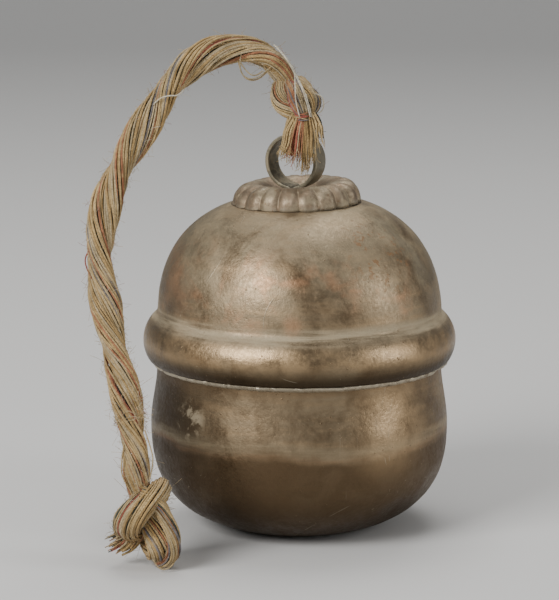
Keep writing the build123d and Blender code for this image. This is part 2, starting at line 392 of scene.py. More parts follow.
class BrassFinish(Finish):
    """Old sheet brass: mottled brown and olive patina, worn bright where it is handled, with dust in the
    hollows, coppery and rusty patches, specks and fine scratches, and painted shade, a painted shadow and a
    painted highlight."""

    def __init__(self, name):
        super().__init__(name)
        self.tones = bpy.context.scene.bell_colours
        self.level = self.height()
        self.clouds = self.noise(38.0, 5.0, 0.6, 0.6)
        self.mottle = self.noise(150.0, 6.0, 0.62, 0.3)
        self.grain = self.noise(1100.0, 3.0, 0.6)
        self.streaks = self.noise(1.0, 5.0, 0.65, 0.0, self.shift(scale=(30, 30, 420)))
        self.rough = self.ramp(self.mottle, 0.3, 0.7, 0.36, 0.52)
        shade = self.ramp(self.plus(self.clouds, self.times(self.mottle, 0.6)), 0.50, 1.02, 0.12, 1.0)
        self.ground = self.blend(shade, self.tones.brown, self.tones.olive)
        worn = self.ramp(self.plus(self.streaks, self.times(self.mottle, 0.7)), 0.78, 1.06)
        self.lay(self.tones.brass, worn, 0.40)

    def mottled(self, start, end):
        """The mottle as a mask, from start to end."""
        return self.ramp(self.mottle, 0.25, 0.6, start, end)

    def dome(self):
        """Dusty shoulder, coppery patches half-way up, and a dusty hollow over the polished bead, with
        painted shade on the bead's lower part and a painted shadow round the cap's rim.
        """
        tones, level = self.tones, self.level
        veil = self.times(self.ramp(level, *SHOULDER), self.ramp(self.clouds, 0.34, 0.62))
        self.lay(tones.dust, veil, 0.55)
        warm = self.patches(0.50, 0.66, 46.0, 4.0, 0.6, 0.8, self.shift(move=(0.013, 0.004, 0.02)))
        self.lay(tones.copper, warm, self.band(level, *COPPER_BELT, 0.006), 0.62)
        hollow = self.times(self.band(level, *HOLLOW, 0.0012), self.ramp(self.streaks, 0.30, 0.62))
        self.lay(tones.dust, hollow, 0.85)
        polish = self.band(level, *BEAD_POLISH, 0.0016)
        self.lay(tones.brass, polish, self.mottled(0.1, 0.75))
        # Painted shade and dark reflection on the bead's lower part, down to its lip.
        self.lay(darker(tones.brown, 0.26), self.band(level, *LIP_SHADOW, 0.0026), 0.9)
        # The crease's inside painted paler.
        for spot in PALE_CREASE_SPOTS:
            self.lay(tones.dust, self.near(*spot), self.mottled(0.4, 0.85))
        for spot in COPPER_GLINTS:
            self.lay(tones.copper, self.near(*spot), self.ramp(self.mottle, 0.42, 0.58, 0.1, 0.75))
        rust = self.times(self.near(*RUST_SPOT), self.patches(0.56, 0.62, 420.0, 4.0, 0.7))
        self.lay(tones.rust, rust, 0.8)
        # Painted shadow: a thin dark ring on the dome, just outside the cap's rim.
        cap_shadow = self.band(self.apart(UNDER_CAP), *CAP_SHADOW_RING, 0.0002)
        self.lay(darker(tones.brown, 0.3), cap_shadow, self.ramp(self.grain, 0.3, 0.6, 0.6, 1.0), 0.8)
        dusty = self.plus(self.times(veil, 0.10), self.times(hollow, 0.25))
        self.rough = self.plus(self.rough, dusty, self.times(polish, -0.07))
        return self.finished(self.plus(rust, hollow), DOME_SCORES)

    def bowl(self):
        """Dark foot below a tide line with a paler band above it, painted shade on the left and towards the
        base, and a painted highlight on the right, where it is also smoother.
        """
        tones = self.tones
        wavy = self.plus(self.level, self.ramp(self.noise(34.0, 4.0), 0.3, 0.7, -0.0012, 0.0012))
        self.lay(tones.brown, self.ramp(self.mottle, 0.2, 0.7, 0.5, 0.2))
        foot = self.times(self.fade(wavy, *FOOT_EDGE), self.mottled(0.65, 0.9))
        self.lay(darker(tones.brown, 0.72), foot)
        # Painted shade and dark reflection: the bowl darkens towards its base.
        self.lay(darker(tones.brown, 0.4), self.fade(self.level, *SHADED_BASE), 0.7)
        # Painted shade: the bowl's left side darkened.
        self.lay(darker(tones.brown, 0.3), self.near(*SHADED_LEFT), 0.85)
        tide = self.ramp(self.streaks, 0.30, 0.64, 0.15, 0.75)
        self.lay(tones.dust, self.band(wavy, *TIDE_LINE, 0.0012), tide, 0.55)
        ring = self.band(wavy, *FOOT_RING, 0.0010)
        self.lay(tones.copper, ring, self.ramp(self.streaks, 0.30, 0.60), 0.2)
        self.lay(tones.brown, self.ramp(self.level, *BOWL_NECK), self.ramp(self.streaks, 0.3, 0.6), 0.55)
        stain = self.times(self.near(*PALE_STAIN), self.ramp(self.mottle, 0.52, 0.60))
        self.lay(tones.dust, stain, 0.6)
        # Painted highlight: brighter brass on the bowl's right, which is also less rough.
        polish_and_highlight = self.times(self.near(*POLISH_AND_HIGHLIGHT_SPOT), self.mottled(0.3, 1.0))
        self.lay(tones.brass, polish_and_highlight, 0.45)
        self.rough = self.plus(self.rough, self.times(foot, 0.05), self.times(polish_and_highlight, -0.10))
        return self.finished(stain, BOWL_SCORES)

    def finished(self, stain, scores):
        """Add the specks, pits and scratches, and give the material. A stained spot isn't metallic."""
        specks = self.times(self.patches(0.655, 0.70, 620.0, 5.0, 0.75), self.patches(0.46, 0.62, 48.0, 3.0))
        self.lay(self.tones.dust, specks, 0.6)
        cells = {"Vector": self.shift(move=(0.3, 0.1, 0.2)), "Scale": 520.0}
        pits = self.fade(self.node("ShaderNodeTexVoronoi", "Distance", cells), 0.08, 0.15)
        pits = self.times(pits, self.patches(0.50, 0.60, 90.0, 2.0))
        self.lay(self.tones.brown, pits, 0.7)
        lines = self.most(self.scratches((0.3, 0.5, 0.2)), self.scratches((1.1, -0.6, 0.9)))
        lines = self.most(lines, *(self.score(*score) for score in scores))
        self.lay(self.tones.solder, lines, 0.5)

        relief = self.bump(self.noise(420.0, 5.0, 0.65), 0.00010, 0.6)
        relief = self.bump(self.plus(self.grain, self.times(self.mottle, 1.4)), 0.00012, 0.6, relief)
        relief = self.bump(self.plus(pits, lines), 0.00010, 0.5, relief)
        rough = self.plus(self.rough, self.ramp(self.grain, 0.3, 0.7, -0.05, 0.07))
        metal = self.ramp(self.plus(stain, specks), 0.0, 1.0, 0.92, 0.35)
        return self.join(Base_Color=self.ground, Roughness=rough, Metallic=metal, Normal=relief)


def iron_finish(name, face, dusty_above=None):
    """Old wrought iron: mauve-brown oxide with dry dust in the grooves and worn edges. Dust may also
    lie above a level."""
    tones = bpy.context.scene.bell_colours
    finish = Finish(name)
    clouds = finish.noise(210.0, 5.0, 0.6, 0.5)
    grain = finish.noise(1400.0, 4.0, 0.65)
    finish.ground = finish.blend(finish.ramp(clouds, 0.35, 0.65), face, darker(face, 0.55))
    edges = finish.node("ShaderNodeNewGeometry", "Pointiness", {})
    finish.lay(tones.edge, finish.ramp(edges, 0.505, 0.56), 0.65)
    stale = finish.patches(0.46, 0.62, 170.0, 5.0, 0.7, 0.8, finish.shift(move=(0.2, 0.5, 0.1)))
    finish.lay(tones.dust, stale, 0.55)
    dust = finish.times(finish.fade(edges, 0.44, 0.495), finish.ramp(grain, 0.3, 0.6))
    if dusty_above:
        top = finish.ramp(finish.height(), dusty_above, dusty_above + 0.003)
        dust = finish.most(dust, finish.times(top, 0.7, finish.ramp(clouds, 0.38, 0.6)))
    finish.lay(tones.dust, dust, 0.7)
    finish.lay(tones.rust, finish.patches(0.60, 0.68, 600.0, 4.0, 0.7), 0.5)
    return finish.join(
        Base_Color=finish.ground,
        Roughness=finish.ramp(grain, 0.3, 0.7, 0.46, 0.66),
        Metallic=finish.ramp(dust, 0.0, 0.8, 0.75, 0.15),
        Normal=finish.bump(finish.plus(grain, clouds), 0.00016, 0.6),
    )


def yarn_finish(name, dye):
    """Hand-spun yarn: fine twisted fibres, faded and dusty in patches."""
    finish = Finish(name)
    coords = finish.tree.nodes.new("ShaderNodeUVMap")
    coords.uv_map = "UVMap"
    turns = finish.shift(turn=(0, 0, 0.9), scale=(160.0, 3.0, 1.0), place=coords.outputs["UV"])
    fibres = finish.noise(6.0, 3.0, 0.7, 0.0, turns)
    fine = finish.noise(2600.0, 2.0, 0.6)
    pale = [min(1.0, c * 1.3 + 0.01) for c in dye]
    finish.ground = finish.blend(finish.patches(0.3, 0.7, 170.0, 4.0, 0.6), darker(dye, 0.72), pale)
    finish.lay(darker(dye, 0.42), finish.ramp(fine, 0.42, 0.66), 0.7)
    faded = finish.patches(0.50, 0.62, 140.0, 3.0, 0.7, 0.4, finish.shift(move=(0.4, 0.1, 0.7)))
    finish.lay(bpy.context.scene.yarn_colours.straw, faded, 0.45)
    finish.lay(pale, finish.ramp(fibres, 0.5, 0.75), 0.35)
    return finish.join(
        Base_Color=finish.ground,
        Roughness=0.85,
        Normal=finish.bump(finish.plus(fine, fibres), 0.00012, 0.7),
        Sheen_Weight=0.12,
        Sheen_Roughness=0.5,
        Specular_IOR_Level=0.2,
    )


DYES = ("straw", "gold", "oat", "madder", "rust", "bottle", "slate", "thread")


def dyed_finishes():
    """The yarns' materials, one for each dye, made once."""
    tones = bpy.context.scene.yarn_colours
    return [bpy.data.materials.get(f"yarn_{d}") or yarn_finish(f"yarn_{d}", getattr(tones, d)) for d in DYES]


# ---------------------------------------------------------------- shared tools


def add(name, data):
    """Put an object of some data in the scene."""
    made = bpy.data.objects.new(name, data)
    bpy.context.scene.collection.objects.link(made)
    return made


def piece(name, shape, finish, body, slot, *stands_for):
    """Set a finished mesh or bmesh on a body, as a piece of the object."""
    mesh = smooth_mesh(name, shape) if isinstance(shape, bmesh.types.BMesh) else shape
    made = add(name, mesh)
    if finish:
        mesh.materials.append(finish)
    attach(made, body)
    if stands_for:
        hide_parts(*stands_for)
    return made


def smooth_mesh(name, work):
    """Turn a bmesh into a smooth-shaded mesh."""
    for face in work.faces:
        face.smooth = True
    mesh = bpy.data.meshes.new(name)
    work.to_mesh(mesh)
    work.free()
    return mesh


def corners_of(geometry):
    """The corners among the geometry that an operator gives."""
    return [g for g in geometry if isinstance(g, bmesh.types.BMVert)]


def edges_of(geometry):
    """The edges among the geometry that an operator gives."""
    return [g for g in geometry if isinstance(g, bmesh.types.BMEdge)]


def chain(work, points):
    """Corners at some points, and the edges that join them in a row."""
    corners = [work.verts.new(point) for point in points]
    return corners, [work.edges.new(pair) for pair in zip(corners, corners[1:])]


def pull(work, edges, way):
    """Pull edges along a way into faces, and give what the operator makes."""
    made = bmesh.ops.extrude_edge_only(work, edges=edges)["geom"]
    bmesh.ops.translate(work, verts=corners_of(made), vec=way)
    return made


def spin_outline(outline, steps):
    """Spin an outline of (radius, level) points round the Z axis into a surface with outward faces."""
    work = bmesh.new()
    corners, edges = chain(work, [(r, 0, z) for r, z in outline])
    turn = {"cent": (0, 0, 0), "axis": (0, 0, 1), "angle": tau, "steps": steps}
    bmesh.ops.spin(work, geom=corners + edges, use_merge=True, **turn)
    bmesh.ops.remove_doubles(work, verts=work.verts, dist=1e-7)
    bmesh.ops.recalc_face_normals(work, faces=work.faces)
    work.normal_update()
    return work


def move_corners(work, step):
    """Move all the corners at once, each by what a function gives for it."""
    for vert, move in [(vert, step(vert)) for vert in work.verts]:
        vert.co += move


def thicken(work, sheet):
    """Give a surface the thickness of its sheet."""
    bmesh.ops.solidify(work, geom=work.faces[:], thickness=sheet)
    bmesh.ops.recalc_face_normals(work, faces=work.faces)


def clamp(value):
    """The value, kept from 0 to 1."""
    return min(1.0, max(0.0, value))


def ease(share):
    """A smooth rise from 0 to 1."""
    return share * share * (3 - 2 * share)


def angles(start, end, count):
    """So many angles in radians, evenly from one to another in degrees."""
    return [radians(start + (end - start) * i / (count - 1)) for i in range(count)]


def arc(centre, radius, start, end, count):
    """Points on an arc in a section, from one angle to another, in degrees."""
    return [(centre[0] + radius * cos(a), centre[1] + radius * sin(a)) for a in angles(start, end, count)]


def squared(radius, height, power, start, end, count):
    """Points (r, z) on a squared-off ellipse, from one angle to another, in degrees."""
    turns = angles(start, end, count)
    return [(radius * abs(cos(a)) ** (2 / power), height * abs(sin(a)) ** (2 / power)) for a in turns]


def mesh_of(curve):
    """The mesh of a curve, which is then removed."""
    holder = add(curve.name, curve)
    mesh = bpy.data.meshes.new_from_object(holder)
    mesh.name = curve.name
    bpy.data.objects.remove(holder)
    bpy.data.curves.remove(curve)
    return mesh


def new_curve(name):
    """An empty curve in space."""
    curve = bpy.data.curves.new(name, "CURVE")
    curve.dimensions = "3D"
    return curve


def smooth_line(route, step=0.9):
    """Evenly spaced points, so many millimetres apart, along the smooth line of a route."""
    curve = new_curve("line")
    spline = curve.splines.new("NURBS")
    spline.points.add(len(route) - 1)
    for knot, place in zip(spline.points, route):
        knot.co = (*(MM * x for x in place), 1)
    spline.order_u = 3
    spline.use_endpoint_u = True
    spline.resolution_u = 24
    mesh = mesh_of(curve)
    points = [v.co.copy() for v in mesh.vertices]
    bpy.data.meshes.remove(mesh)
    return even(points, MM * step)


def even(points, step):
    """The same line with its points a step apart."""
    spans = [(b - a).length for a, b in zip(points, points[1:])]
    total = sum(spans)
    count = max(3, round(total / step))
    line, index, passed = [points[0]], 0, 0.0
    for i in range(1, count):
        target = total * i / count
        while passed + spans[index] < target:
            passed += spans[index]
            index += 1
        line.append(points[index].lerp(points[index + 1], (target - passed) / spans[index]))
    return line + [points[-1]]


def frames_along(line, first=(0, 1, 0)):
    """(point, side, up, share, distance) along a line, with a side that turns as little as it can."""
    made, side, distance = [], Vector(first), 0.0
    last = len(line) - 1
    for i, point in enumerate(line):
        ahead = (line[min(i + 1, last)] - line[max(i - 1, 0)]).normalized()
        side = (side - ahead * side.dot(ahead)).normalized()
        distance += (point - line[max(i - 1, 0)]).length
        made.append((point, side, ahead.cross(side), i / last, distance))
    return made


def off_line(point, side, up, turn, out):
    """The place so far out from a point of a line, at a turn from its side."""
    return point + side * out * cos(turn) + up * out * sin(turn)


def wander(seed, distance, reach, pace=60.0):
    """A slow, smooth drift of a yarn, from -reach to reach."""
    return reach * 2 * noise.noise((distance * pace, seed * 7.3, seed * 1.7))


class YarnWork:
    """A bundle of yarns under construction: splines on one curve, which end as one piece."""

    def __init__(self, name, sides=1):
        self.name = name
        self.sizes = bpy.context.scene.rope_sizes
        self.curve = new_curve(name)
        self.curve.bevel_depth = MM
        self.curve.bevel_resolution = sides
        self.curve.use_fill_caps = True
        for finish in dyed_finishes():
            self.curve.materials.append(finish)

    def yarn(self, points, radius, dye, taper=0.0):
        """Lay one yarn along some points. A taper thins its last part."""
        spline = self.curve.splines.new("POLY")
        spline.points.add(len(points) - 1)
        last = len(points) - 1
        for i, (knot, place) in enumerate(zip(spline.points, points)):
            knot.co = (*place, 1)
            thin = 1 - taper * max(0.0, (i / last - 0.45) / 0.55) ** 1.5
            knot.radius = radius * thin * (1 + 0.10 * noise.noise(place * 900)) / MM
        spline.material_index = DYES.index(dye)
        spline.use_smooth = True

    def rope(self, line, section, thick, turn, dice, dyes, swell=None, first=(0, 1, 0), ragged=0):
        """Lay twisted yarns along a line: each keeps its place in the section, which turns. They
        are so many times as thick as a yarn. Up to so many steps of each ragged end are left off."""
        radius = self.sizes.yarn * thick
        steps = frames_along(line, first)
        for x, y in section:
            seed = dice.uniform(0, 100)
            dye = dice.choice(dyes)
            size = radius * dice.uniform(0.72, 1.30)
            reach = hypot(x, y) + radius * dice.uniform(-0.7, 0.5)
            start = atan2(y, x)
            lift = radius * (0.9 if dye in ("straw", "oat") else 0.5)
            points = []
            for point, side, up, share, distance in steps:
                around = start + turn(distance) + wander(seed, distance, 0.16)
                out = (reach + wander(seed + 5, distance, lift, 110.0)) * (swell(share) if swell else 1)
                place = off_line(point, side, up, around, out)
                place.z = max(place.z, size + 0.1 * MM)
                points.append(place)
            kept = len(points) - (dice.randrange(ragged) if ragged else 0)
            self.yarn(points[:kept], size, dye)

    def fibre(self, start, way, reach, radius, dye, dice):
        """Lay one loose curling fibre out of a surface."""
        bend = Vector([dice.gauss(0, 1) for _ in range(3)])
        points = [start + (way * t + bend * 0.35 * t * t) * reach for t in (0.0, 0.3, 0.65, 1.0)]
        for point in points:
            point.z = max(point.z, 0.2 * MM)
        self.yarn(points, radius, dye)

    def piece(self, slot, *stands_for):
        """Turn the yarns into one piece on the cord."""
        return piece(self.name, mesh_of(self.curve), None, CORD, slot, *stands_for)


def two_ply(ply_radius, offset, spacing):
    """Places of the yarns round two plies that lie together, where they show."""
    places = []
    for sign, radius in ((1, ply_radius * 1.06), (-1, ply_radius * 0.97)):
        for x, y in one_ply(radius, spacing):
            if hypot(x + 2 * sign * offset, y) > ply_radius * 1.02:
                places.append((sign * offset + x, y))
    return places


def one_ply(radius, spacing):
    """Places of the yarns round one ply."""
    count = max(4, round(tau * radius / spacing))
    return [(radius * cos(tau * i / count), radius * sin(tau * i / count)) for i in range(count)]


def even_turn(pitch, phase=0.0):
    """The twist of a rope with the same pitch, in metres, all along."""
    return lambda distance: phase - tau * distance / pitch


# ---------------------------------------------------------------- routes, in millimetres

# From the ring knot over the arch and down to the end knot.
ROPE_ROUTE = [
    (-2.8, -2.6, 118.6), (-5.0, -3.2, 124.8), (-12.4, -4.8, 129.4), (-23.2, -7.6, 129.0),
    (-32.2, -10.8, 122.8), (-39.4, -14.4, 112.4), (-46.8, -18.6, 100.2), (-51.3, -22.8, 87.8),
    (-52.4, -27.6, 74.6), (-48.8, -33.6, 57.4), (-43.6, -40.4, 40.4), (-42.0, -46.4, 24.2),
]

# The rope's overhand knot: down the front, under, up behind, over the front as a band, and out.
END_KNOT_ROUTE = [
    (-42.2, -45.4, 27.0), (-41.4, -46.4, 21.6), (-39.4, -47.6, 16.0), (-36.6, -49.6, 11.0),
    (-34.6, -50.8, 5.8), (-35.4, -47.2, 4.2), (-37.8, -43.2, 6.6), (-38.6, -41.8, 11.6),
    (-37.6, -42.2, 16.2), (-36.2, -45.8, 19.6), (-38.4, -51.4, 19.2), (-42.6, -52.6, 15.6),
    (-45.0, -49.8, 11.2), (-43.6, -45.4, 8.6), (-45.4, -45.6, 6.4), (-47.2, -46.4, 5.6),
]
# A slack strand of it: over the top of the knot and down its right side.
END_KNOT_WRAP = [
    (-40.6, -51.6, 20.6), (-36.4, -52.4, 19.0), (-33.6, -53.0, 13.6), (-31.8, -52.8, 7.6),
    (-33.2, -51.4, 2.6), (-36.4, -48.6, 2.0),
]

# The ring knot's turns: radius, dyes and route.
RING_KNOT_TURNS = [
    (2.4, ("straw", "oat", "gold", "oat", "rust"),
     [(-3.2, -2.4, 121.0), (-5.0, -2.9, 119.2), (-5.2, -4.0, 115.2), (-2.6, -5.0, 112.6),
      (0.4, -5.2, 110.6)]),
    (1.3, ("madder", "slate", "rust", "slate"),
     [(-3.4, -3.4, 121.6), (-2.0, -6.2, 119.0), (-1.7, -6.9, 115.0), (0.4, -5.9, 110.6)]),
    (1.2, ("slate", "oat", "slate", "oat"),
     [(-1.8, -3.2, 121.8), (-0.2, -6.2, 118.6), (0.3, -6.8, 114.6), (1.0, -5.9, 110.6)]),
    (2.0, ("oat", "straw", "gold", "oat"),
     [(-0.4, -2.2, 120.8), (1.8, -5.0, 118.2), (2.9, -5.8, 114.8), (1.8, -5.4, 110.6)]),
    (1.3, ("oat", "slate", "straw"),
     [(2.4, -0.8, 118.0), (4.4, -2.8, 116.4), (4.3, -4.4, 113.4), (2.2, -5.0, 111.0)]),
    (1.9, ("straw", "oat", "gold"),
     [(-4.8, -0.6, 119.8), (-4.8, 2.2, 117.2), (-1.0, 3.4, 115.8), (3.6, 1.6, 115.4),
      (4.6, -2.0, 115.2)]),
    (1.7, ("gold", "straw", "oat"),
     [(-3.6, -0.4, 121.4), (-1.8, 2.0, 119.8), (1.2, 1.4, 118.6), (3.0, -1.6, 117.2)]),
    (1.6, ("straw", "gold", "oat"),
     [(-5.0, 0.0, 113.6), (-1.6, 1.8, 112.8), (2.6, 0.4, 112.8)]),
]

# The strand through the loop, in the loop's own frame: across the eye, up, and along its axis.
EYE_ROUTE = [
    (1.6, 17.0, 1.6), (2.2, 13.6, 3.8), (2.0, 10.6, 5.5), (1.2, 5.4, 5.6),
    (0.6, 4.1, 4.7), (0.0, 3.9, 2.2), (0.0, 3.9, -2.2), (0.0, 4.1, -4.7),
    (0.0, 5.4, -5.5), (0.6, 10.6, -5.5), (1.2, 13.6, -3.8), (1.6, 17.0, -1.6),
]

# The frayed short end: how far each group reaches sideways and down, how many yarns, and dyes.
TASSEL_GROUPS = [
    ((-5.7, -2.4), (101.2, 103.4), 22, ("straw", "gold", "oat", "straw")),
    ((-3.0, 0.4), (99.8, 102.6), 22, ("madder", "rust", "rust", "gold", "oat", "rust")),
    ((-0.9, -0.3), (98.2, 99.2), 2, ("oat", "straw")),
    ((0.4, 2.7), (97.4, 100.2), 22, ("straw", "oat", "gold", "gold")),
    ((2.7, 4.6), (99.2, 102.4), 12, ("oat", "gold", "straw")),
    ((4.2, 6.6), (104.2, 107.0), 14, ("gold", "straw", "bottle")),
]
TASSEL_NECK = Vector((1.0, -5.6, 111.4))
TASSEL_FRONT = -9.4

# The lint that clings round the rope above its end knot.
LINT_ROUTE = [(-44.6, -41.6, 42.4), (-43.6, -43.0, 39.4), (-43.2, -44.0, 37.0)]

# Loose ends that stand off the rope.
STRAYS = [
    ("oat", [(-15.2, -9.0, 129.2), (-16.0, -9.6, 125.6), (-14.8, -8.8, 122.0), (-11.2, -8.2, 121.4),
             (-8.2, -7.0, 124.2)]),
    ("straw", [(-16.4, -8.8, 128.0), (-15.6, -8.9, 122.8), (-12.4, -8.0, 120.8), (-9.0, -7.2, 122.6),
               (-7.4, -6.2, 125.0)]),
    ("oat", [(-16.0, -8.2, 126.8), (-14.2, -8.2, 123.6), (-11.6, -7.6, 122.0), (-9.8, -7.0, 123.6)]),
    ("madder", [(-52.6, -26.6, 82.0), (-55.2, -27.8, 79.0), (-56.0, -28.8, 75.6), (-53.4, -29.8, 71.2)]),
    ("oat", [(-39.8, -46.4, 36.0), (-38.2, -47.6, 31.5), (-37.4, -48.4, 27.9), (-38.6, -49.6, 23.2)]),
    ("straw", [(-45.0, -45.8, 32.6), (-46.0, -46.4, 27.4), (-45.6, -48.2, 23.4), (-43.2, -50.2, 20.6)]),
    ("oat", [(-37.6, -52.6, 3.4), (-36.6, -53.2, 1.2), (-34.2, -53.2, 0.7), (-31.8, -52.6, 2.6),
             (-31.2, -51.4, 7.4)]),
]

# Pale sewing thread: over the arch, down over the knot, and round to its right.
THREADS = [
    [(-6.8, -5.6, 130.4), (-3.4, -7.4, 127.2), (-0.9, -8.2, 122.2), (1.4, -8.8, 117.6), (2.8, -7.6, 111.6)],
    [(-6.2, -5.2, 130.0), (-2.8, -7.2, 126.6), (-0.4, -8.2, 121.6), (2.0, -8.6, 117.0), (3.2, -7.2, 111.4)],
    [(-1.4, -8.0, 123.6), (-1.1, -8.6, 119.6), (-1.2, -8.8, 116.0), (0.0, -7.6, 111.6)],
    [(1.8, -7.2, 117.4), (4.4, -5.8, 117.7), (6.3, -4.6, 116.2), (6.5, -4.4, 113.6), (5.0, -5.0, 111.8),
     (2.6, -6.8, 111.4)],
    [(-38.6, -15.4, 115.2), (-37.0, -18.2, 117.6), (-34.0, -18.4, 118.6), (-31.4, -17.0, 118.2),
     (-30.0, -15.0, 119.8)],
]

# How far along a strand one full turn of its yarns takes, in metres.
RING_KNOT_PITCH = 0.030
EYE_PITCH = 0.026
END_KNOT_PITCH = 0.060
WRAP_PITCH = 0.050

# A near-black core that fills each ply, painted shade that shows in the gaps between its yarns, as a dye and
# shares of the ply's radius.
SHADE_CORE_DYE = "bottle"
ROPE_CORE = 0.74
KNOT_CORE = 0.72
END_KNOT_CORE = 0.9

# The dyes of the rope's yarns, each as often as it comes.
ROPE_DYES = ("straw",) * 8 + ("gold",) * 8 + ("oat",) * 5
ROPE_DYES += ("madder", "madder", "rust", "rust", "bottle", "slate", "slate")

# Dents, and bumps where the depth is below 0: place, reach and depth.
DENTS = [
    ((20.5, -9.0, 85.5), 6.0, 0.60),
    ((27.3, -11.5, 80.8), 6.5, 0.85),
    ((33.0, -11.5, 74.6), 6.0, 0.65),
    ((17.0, -14.0, 85.0), 3.5, -0.30),
    ((24.0, -18.5, 79.5), 4.0, -0.40),
    ((29.5, -19.5, 73.0), 4.0, -0.34),
    ((27.0, -22.0, 7.5), 9.0, 0.7),
    ((33.0, -14.0, 13.0), 8.0, 0.5),
    ((-20.0, -31.0, 70.0), 12.0, 0.3),
    ((6.0, -38.0, 37.0), 10.0, 0.25),
    ((-34.0, 12.0, 66.0), 11.0, 0.4),
    ((20.0, 33.0, 22.0), 12.0, 0.4),
    ((14.0, 34.0, 70.0), 8.0, 0.35),
]


# ---------------------------------------------------------------- operators


def crown_frame():
    """The leaning frame of the cap and the loop, as a matrix."""
    sizes = bpy.context.scene.crown_sizes
    across = Vector((cos(sizes.lean), 0, sin(sizes.lean)))
    up = Vector((-sin(sizes.lean), 0, cos(sizes.lean)))
    turn = Matrix((across, up.cross(across), up)).transposed().to_4x4()
    return Matrix.Translation((-sizes.shift, 0, sizes.cap_foot)) @ turn


def loop_frame():
    """The loop's own frame: X across the eye, Y up, and Z along its axis."""
    sizes = bpy.context.scene.crown_sizes
    turn = Matrix.Rotation(-sizes.loop_yaw, 4, "Z") @ Matrix.Rotation(pi / 2, 4, "X")
    return crown_frame() @ Matrix.Translation((0, 0, sizes.loop_height)) @ turn


# The soft lights, in metres: where each stands, and how wide and high it is.
SOFTBOXES = (
    ("key", (-0.60, -0.64, 0.60), (0.50, 0.50)),
    ("side", (0.94, -0.34, 0.36), (0.34, 0.62)),
    ("top", (0.05, 0.35, 0.95), (0.60, 0.60)),
)
LIT_POINT = Vector((0, 0, 0.06))


class BELL_OT_studio(bpy.types.Operator):
    """Set up the camera, the pale floor and the soft lights"""

    bl_idname = "bell.studio"
    bl_label = "Studio"

    def execute(self, context):
        studio = context.scene.bell_studio
        data = bpy.data.cameras.new("camera")
        data.lens = studio.lens
        data.clip_end = 20
        camera = add("camera", data)
        target = Vector(studio.target)
        back = Vector((0, -cos(studio.elevation), sin(studio.elevation)))
        camera.location = target + back * studio.distance
        camera.rotation_euler = (-back).to_track_quat("-Z", "Y").to_euler()
        context.scene.camera = camera

        floor = add("floor", smooth_mesh("floor", self.backdrop()))
        finish = Finish("pale_floor")
        tone = finish.blend(finish.noise(3.0, 2.0), studio.floor, darker(studio.floor, 0.97))
        floor.data.materials.append(finish.join(Base_Color=tone, Roughness=0.75))

        world = bpy.data.worlds.new("studio_air")
        world.use_nodes = True
        world.node_tree.nodes["Background"].inputs["Color"].default_value = (*studio.air, 1)
        world.node_tree.nodes["Background"].inputs["Strength"].default_value = studio.air_strength
        context.scene.world = world
        for name, place, size in SOFTBOXES:
            self.softbox(name, place, size, getattr(studio, name))
        return {"FINISHED"}

    def backdrop(self, front=-3.0, back=1.2, half=4.0, curve=0.9, wall=1.6):
        """A floor from front to back that sweeps up in a curve into a wall behind."""
        work = bmesh.new()
        _, edges = chain(work, [(x, front, 0) for x in (-half, half)])
        out = pull(work, edges, (0, back - front, 0))
        sweep = {"cent": (0, back, curve), "axis": (1, 0, 0), "angle": pi / 2, "steps": 24}
        geom = edges_of(out) + corners_of(out)
        swept = bmesh.ops.spin(work, geom=geom, use_merge=False, **sweep)["geom_last"]
        pull(work, edges_of(swept), (0, 0, wall))
        bmesh.ops.remove_doubles(work, verts=work.verts, dist=1e-6)
        bmesh.ops.recalc_face_normals(work, faces=work.faces)
        return work

    def softbox(self, name, place, size, power):
        """A soft light, so wide and so high, that faces the bell."""
        data = bpy.data.lights.new(name, "AREA")
        data.shape = "RECTANGLE"
        data.size, data.size_y = size
        data.energy = power
        lamp = add(name, data)
        lamp.location = place
        lamp.rotation_euler = (LIT_POINT - Vector(place)).to_track_quat("-Z", "Y").to_euler()


class BELL_OT_rope(bpy.types.Operator):
    """Twist the rope's two plies along its route"""

    bl_idname = "bell.rope"
    bl_label = "Rope"

    def execute(self, context):
        sizes = context.scene.rope_sizes
        line = smooth_line(ROPE_ROUTE)
        work = YarnWork("rope_yarns")
        section = two_ply(sizes.ply_radius, sizes.ply_offset, sizes.yarn * 1.72)
        down = (line[-1] - line[-3]).normalized()
        run = line + [line[-1] + down * MM * (i + 1) * 0.9 for i in range(7)]
        work.rope(run, section, 1, self.turn, Random(11), ROPE_DYES, self.swell)
        # A near-black core in each ply: painted shade in the gaps between the yarns.
        for start in (0, pi):
            core = []
            for point, side, up, share, distance in frames_along(run):
                out = sizes.ply_offset * self.swell(share)
                core.append(off_line(point, side, up, self.turn(distance) + start, out))
            work.yarn(core[:-18], sizes.ply_radius * ROPE_CORE, SHADE_CORE_DYE)
        rope = work.piece("rope_yarn", "rope")
        return {"FINISHED"}

    @staticmethod
    def turn(distance, start=0.9, slack=0.022):
        """The rope's twist, which is slack where it leaves its knot."""
        lost = slack * (1 - exp(-distance / slack))
        return start - tau * (distance - lost * 0.75) / bpy.context.scene.rope_sizes.pitch

    @staticmethod
    def swell(share):
        """The rope's fullness, which is pinched at both knots."""
        foot = max(0.0, share - 0.90) / 0.10
        return 0.58 + 0.46 * (1 - exp(-share / 0.040)) - 0.08 * share - 0.42 * foot * foot


